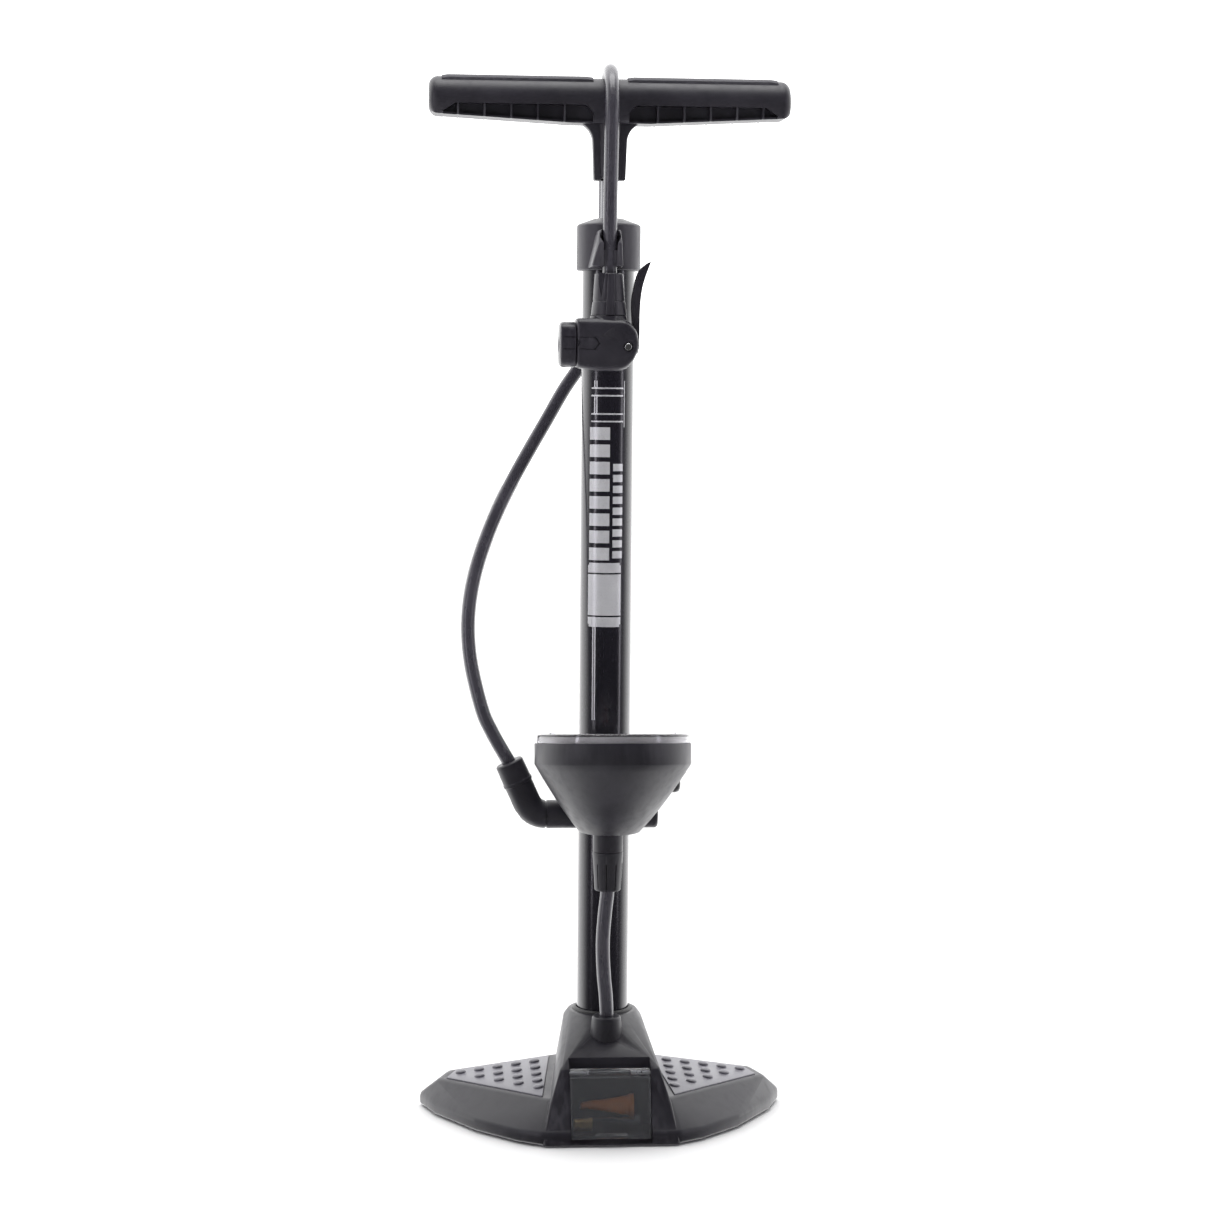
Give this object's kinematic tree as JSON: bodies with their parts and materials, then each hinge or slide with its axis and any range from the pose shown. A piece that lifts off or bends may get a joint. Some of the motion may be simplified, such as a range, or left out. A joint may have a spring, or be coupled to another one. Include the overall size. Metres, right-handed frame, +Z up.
{
  "type": "bicycle track pump",
  "caption": "Hand-operated bicycle floor pump with a studded foot base, slim barrel, T-handle, round pressure gauge and a looped hose with a lever-lock valve head.",
  "frame": {"origin": "on the floor under the barrel's axis, at the centre of the round rubber pad under the barrel", "axes": "+Z up along the barrel, -Y to the front (gauge and store), +X to the right along the handle"},
  "size_m": [0.226, 0.1423, 0.6413],
  "materials": {
    "base_plastic": "fine matte grain",
    "tread_rubber": "satin studded pads",
    "foot_rubber": "matte",
    "trim_rubber": "matte",
    "plug_aluminium": "turned",
    "seal_rubber": "smooth",
    "inner_plastic": "moulded acetal",
    "spring_steel": "drawn wire",
    "screw_steel": "zinc plated",
    "brass": "machined",
    "sleeve_rubber": "satin",
    "lid_smoke": "smoky clear polycarbonate",
    "adaptor_orange": "moulded orange",
    "needle_steel": "polished",
    "barrel_paint": "gloss black with silver stripes",
    "cap_plastic": "satin",
    "rod_chrome": "polished",
    "handle_plastic": "fine matte grain",
    "grip_rubber": "soft-touch",
    "gauge_plastic": "satin",
    "lens_clear": "clear, slightly grey",
    "dial_print": "white with scale marks",
    "pointer_red": "satin red",
    "button_plastic": "satin",
    "head_plastic": "fine matte grain",
    "lever_plastic": "satin black",
    "pin_aluminium": "turned",
    "hose_rubber": "satin extruded"
  },
  "bodies": {
    "pump": {"base_shell": "base_plastic", "tread_pads": "tread_rubber", "rubber_feet": "foot_rubber", "barrel_trim_ring": "trim_rubber", "foot_plug": "plug_aluminium", "foot_oring": "seal_rubber", "check_spring": "spring_steel", "base_screws": "screw_steel", "outlet_elbow": "brass", "base_hose_sleeve": "sleeve_rubber", "bladder_adaptor": "adaptor_orange", "ball_needle": "needle_steel", "valve_adaptor": "brass", "barrel_tube": "barrel_paint", "top_cap": "cap_plastic", "rod_bush": "inner_plastic", "wiper_seal": "seal_rubber", "gauge_carrier": "gauge_plastic", "clamp_strap": "gauge_plastic", "clamp_screws": "screw_steel", "gauge_housing": "gauge_plastic", "gauge_lens": "lens_clear", "gauge_dial": "dial_print", "movement_plate": "brass", "bourdon_tube": "brass", "hose_elbow": "gauge_plastic", "side_plug": "gauge_plastic", "button_spring": "spring_steel", "lower_connector": "gauge_plastic", "lower_sleeve": "sleeve_rubber", "head_body": "head_plastic", "head_neck": "head_plastic", "nozzle_cap": "head_plastic", "valve_grommet": "seal_rubber", "lever_pin": "pin_aluminium", "main_hose": "hose_rubber", "lower_hose": "hose_rubber"},
    "plunger": {"piston_rod": "rod_chrome", "piston": "inner_plastic", "piston_cup": "seal_rubber", "piston_washer": "screw_steel", "piston_nut": "screw_steel", "bump_stop": "seal_rubber", "handle_body": "handle_plastic", "handle_grips": "grip_rubber", "handle_screw": "screw_steel"},
    "lid": {"storage_lid": "lid_smoke", "lid_pins": "screw_steel"},
    "lever": {"head_lever": "lever_plastic"},
    "chuck": {"head_plunger": "inner_plastic"},
    "needle": {"pointer": "pointer_red"},
    "sector": {"sector_gear": "brass"},
    "poppet": {"check_poppet": "inner_plastic"},
    "button": {"release_button": "button_plastic"}
  },
  "joints": [
    {"name": "plunger_slide", "type": "slide", "parent": "pump", "child": "plunger", "axis": [0, 0, 1], "range_m": [-0.0216, 0.4], "deforming": ["main_hose"]},
    {"name": "lid_hinge", "type": "hinge", "parent": "pump", "child": "lid", "pos_m": [0, -0.06245, 0.03943], "axis": [-1, 0, 0], "range_deg": [0, 110]},
    {"name": "lever_hinge", "type": "hinge", "parent": "pump", "child": "lever", "pos_m": [0.0088, -0.03, 0.472], "axis": [0, 1, 0], "range_deg": [0, 90]},
    {"name": "chuck_slide", "type": "slide", "parent": "pump", "child": "chuck", "axis": [-1, 0, 0], "range_m": [0, 0.0024]},
    {"name": "needle_turn", "type": "hinge", "parent": "pump", "child": "needle", "pos_m": [0, -0.0645, 0.2263], "axis": [0, -0.1392, -0.9903], "range_deg": [0, 266]},
    {"name": "sector_turn", "type": "hinge", "parent": "pump", "child": "sector", "pos_m": [0, -0.09025, 0.22992], "axis": [0, 0.1392, 0.9903], "range_deg": [0, 38], "stiffness_Nm_per_rad": 0.0005},
    {"name": "poppet_slide", "type": "slide", "parent": "pump", "child": "poppet", "axis": [0, 0, -1], "range_m": [0, 0.0022], "stiffness_N_per_m": 60, "deforming": ["check_spring"]},
    {"name": "button_slide", "type": "slide", "parent": "pump", "child": "button", "axis": [-1, 0, 0], "range_m": [0, 0.003], "stiffness_N_per_m": 200, "deforming": ["button_spring"]}
  ],
  "couplings": [
    {"joint": "chuck_slide", "follows": "lever_hinge", "m_per_rad": 0.0015279},
    {"joint": "needle_turn", "follows": "sector_turn", "ratio": 7}
  ]
}
